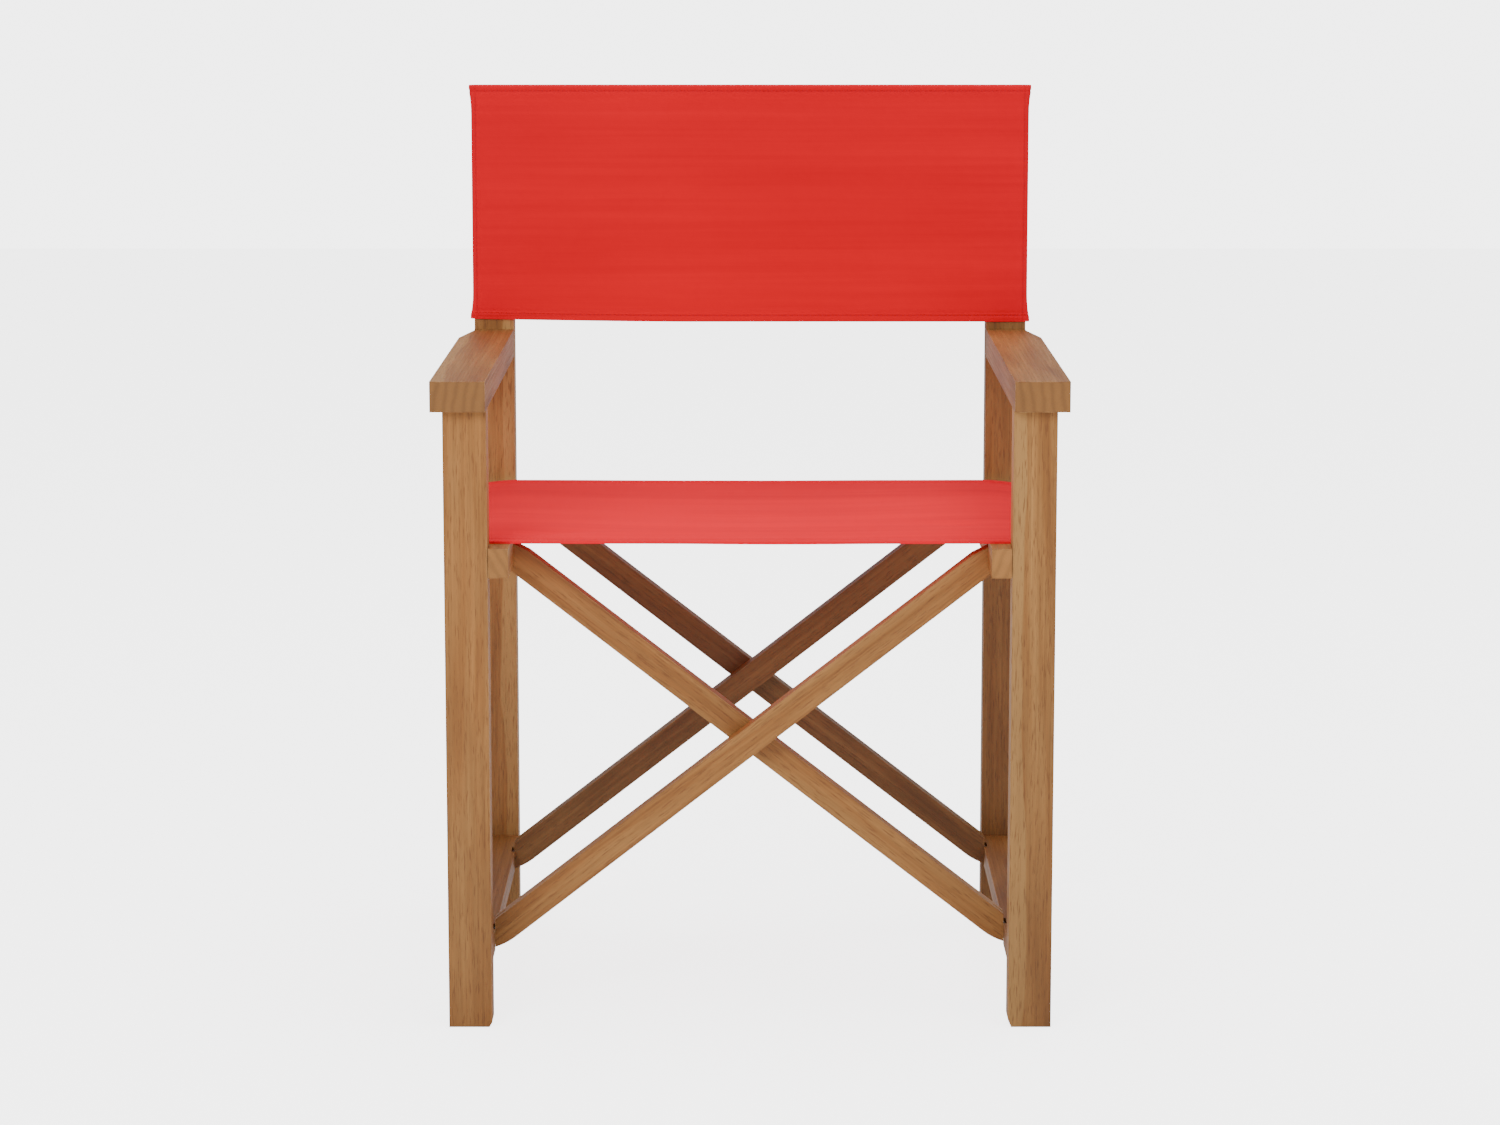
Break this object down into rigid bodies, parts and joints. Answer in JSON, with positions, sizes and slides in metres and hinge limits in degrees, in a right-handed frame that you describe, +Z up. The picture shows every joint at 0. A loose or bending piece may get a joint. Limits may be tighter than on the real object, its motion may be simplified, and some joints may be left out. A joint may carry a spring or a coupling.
{
  "type": "folding director chair",
  "caption": "Folding teak director chair with red canvas seat and back, flat armrests and crossed struts that fold it flat sideways.",
  "frame": {"origin": "on the floor, under the middle of the chair's bounding box", "axes": "+Z up, the sitter faces -Y, +X is to the right when the chair is seen from the front"},
  "size_m": [0.583, 0.4934, 0.855],
  "materials": {
    "teak_leg": "oiled, open grain",
    "teak_post": "oiled, open grain",
    "teak_arm": "oiled, open grain",
    "teak_stretcher": "oiled, open grain",
    "teak_strut": "oiled, open grain",
    "teak_rail": "oiled, open grain",
    "dowel": "plain",
    "steel": "zinc plated",
    "seat_canvas": "woven canvas",
    "back_canvas": "woven canvas"
  },
  "bodies": {
    "left_frame": {"left_front_leg": "teak_leg", "left_rear_post": "teak_post", "left_armrest": "teak_arm", "left_stretcher": "teak_stretcher", "left_hinge_plates": "steel", "left_dowels": "dowel", "back_canvas": "back_canvas"},
    "right_frame": {"right_front_leg": "teak_leg", "right_rear_post": "teak_post", "right_armrest": "teak_arm", "right_stretcher": "teak_stretcher", "right_hinge_plates": "steel", "right_dowels": "dowel"},
    "slash_struts": {"slash_front_strut": "teak_strut", "slash_rear_strut": "teak_strut", "slash_foot_pins": "steel", "cross_pins": "steel", "cross_spacers": "steel", "cross_back_washers": "steel", "cross_cap_nuts": "steel"},
    "backslash_struts": {"backslash_front_strut": "teak_strut", "backslash_rear_strut": "teak_strut", "backslash_foot_pins": "steel"},
    "left_rail": {"left_seat_rail": "teak_rail", "left_rail_rod": "steel", "left_seat_staples": "steel", "seat_canvas": "seat_canvas"},
    "right_rail": {"right_seat_rail": "teak_rail", "right_rail_rod": "steel", "right_seat_staples": "steel"}
  },
  "joints": [
    {"name": "fold", "type": "hinge", "parent": "left_frame", "child": "slash_struts", "pos_m": [-0.231, 0, 0.08], "axis": [0, -1, 0], "range_deg": [0, 44], "deforming": ["seat_canvas", "back_canvas"]},
    {"name": "cross", "type": "hinge", "parent": "slash_struts", "child": "backslash_struts", "pos_m": [0, 0, 0.25975], "axis": [0, 1, 0], "range_deg": [0, 88]},
    {"name": "right_foot_hinge", "type": "hinge", "parent": "backslash_struts", "child": "right_frame", "pos_m": [0.231, 0, 0.08], "axis": [0, -1, 0], "range_deg": [0, 44]},
    {"name": "left_rail_hinge", "type": "hinge", "parent": "backslash_struts", "child": "left_rail", "pos_m": [-0.231, 0, 0.4395], "axis": [0, -1, 0], "range_deg": [0, 44]},
    {"name": "right_rail_hinge", "type": "hinge", "parent": "slash_struts", "child": "right_rail", "pos_m": [0.231, 0, 0.4395], "axis": [0, 1, 0], "range_deg": [0, 44]}
  ],
  "couplings": [
    {"joint": "cross", "follows": "fold", "ratio": 2},
    {"joint": "right_foot_hinge", "follows": "fold", "ratio": 1},
    {"joint": "left_rail_hinge", "follows": "fold", "ratio": 1},
    {"joint": "right_rail_hinge", "follows": "fold", "ratio": 1}
  ]
}
